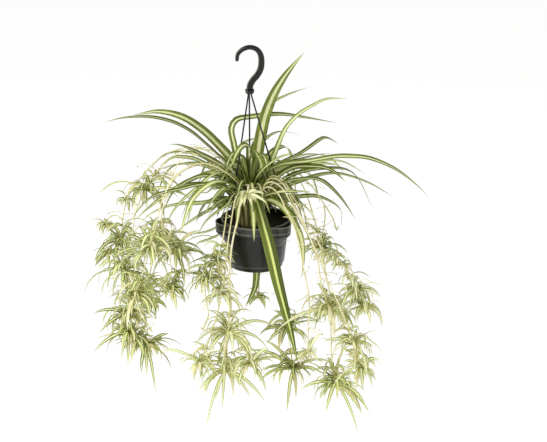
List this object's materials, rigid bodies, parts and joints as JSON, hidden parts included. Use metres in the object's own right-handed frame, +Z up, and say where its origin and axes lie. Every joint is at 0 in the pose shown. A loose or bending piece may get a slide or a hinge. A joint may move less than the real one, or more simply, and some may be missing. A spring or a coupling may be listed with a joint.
{
  "type": "potted spider plant",
  "caption": "Variegated spider plant in a black plastic hanging pot, its leaves arching all round and its straw-coloured runners trailing young plants below the rim.",
  "frame": {"origin": "the point inside the top of the hook that bears on the wire, rod or ceiling hook it hangs from", "axes": "+Z up, -Y towards the side that shows in the picture, +X to the right of that side"},
  "size_m": [0.714, 0.3973, 0.8613],
  "materials": {
    "black_plastic": "satin",
    "potting_soil": "matte",
    "leaf": "satin",
    "young_leaf": "satin",
    "runner_stem": "matte"
  },
  "bodies": {
    "root": {"hanger_hook": "black_plastic", "hanger_leg_left": "black_plastic", "hanger_leg_right": "black_plastic", "hanger_leg_back": "black_plastic", "pot": "black_plastic", "soil": "potting_soil", "mother_plant": "leaf", "runner_left_over": "runner_stem", "plantlet_left_over_1": "young_leaf", "plantlet_left_over_2": "young_leaf", "plantlet_left_over_3": "young_leaf", "runner_left_column": "runner_stem", "plantlet_left_column_1": "young_leaf", "plantlet_left_column_2": "young_leaf", "plantlet_left_column_3": "young_leaf", "plantlet_left_column_4": "young_leaf", "runner_left_outer": "runner_stem", "plantlet_left_outer_1": "young_leaf", "plantlet_left_outer_2": "young_leaf", "plantlet_left_outer_3": "young_leaf", "plantlet_left_outer_4": "young_leaf", "runner_left_inner": "runner_stem", "plantlet_left_inner_1": "young_leaf", "plantlet_left_inner_2": "young_leaf", "runner_left_back": "runner_stem", "plantlet_left_back_1": "young_leaf", "plantlet_left_back_2": "young_leaf", "runner_front_main": "runner_stem", "plantlet_front_main_1": "young_leaf", "plantlet_front_main_2": "young_leaf", "plantlet_front_main_3": "young_leaf", "runner_front_side": "runner_stem", "plantlet_front_side_1": "young_leaf", "plantlet_front_side_2": "young_leaf", "runner_front_left": "runner_stem", "plantlet_front_left_1": "young_leaf", "plantlet_front_left_2": "young_leaf", "runner_front_short": "runner_stem", "plantlet_front_short_1": "young_leaf", "runner_right_out": "runner_stem", "plantlet_right_out_1": "young_leaf", "plantlet_right_out_2": "young_leaf", "plantlet_right_out_3": "young_leaf", "runner_right_main": "runner_stem", "plantlet_right_main_1": "young_leaf", "plantlet_right_main_2": "young_leaf", "runner_right_low": "runner_stem", "plantlet_right_low_1": "young_leaf", "plantlet_right_low_2": "young_leaf", "runner_right_inner": "runner_stem", "plantlet_right_inner_1": "young_leaf", "runner_right_short": "runner_stem", "runner_right_back": "runner_stem", "plantlet_right_back_1": "young_leaf", "plantlet_right_back_2": "young_leaf", "runner_back_low": "runner_stem", "plantlet_back_low_1": "young_leaf", "runner_back_side": "runner_stem", "plantlet_back_side_1": "young_leaf", "plantlet_back_side_2": "young_leaf"}
  },
  "joints": []
}
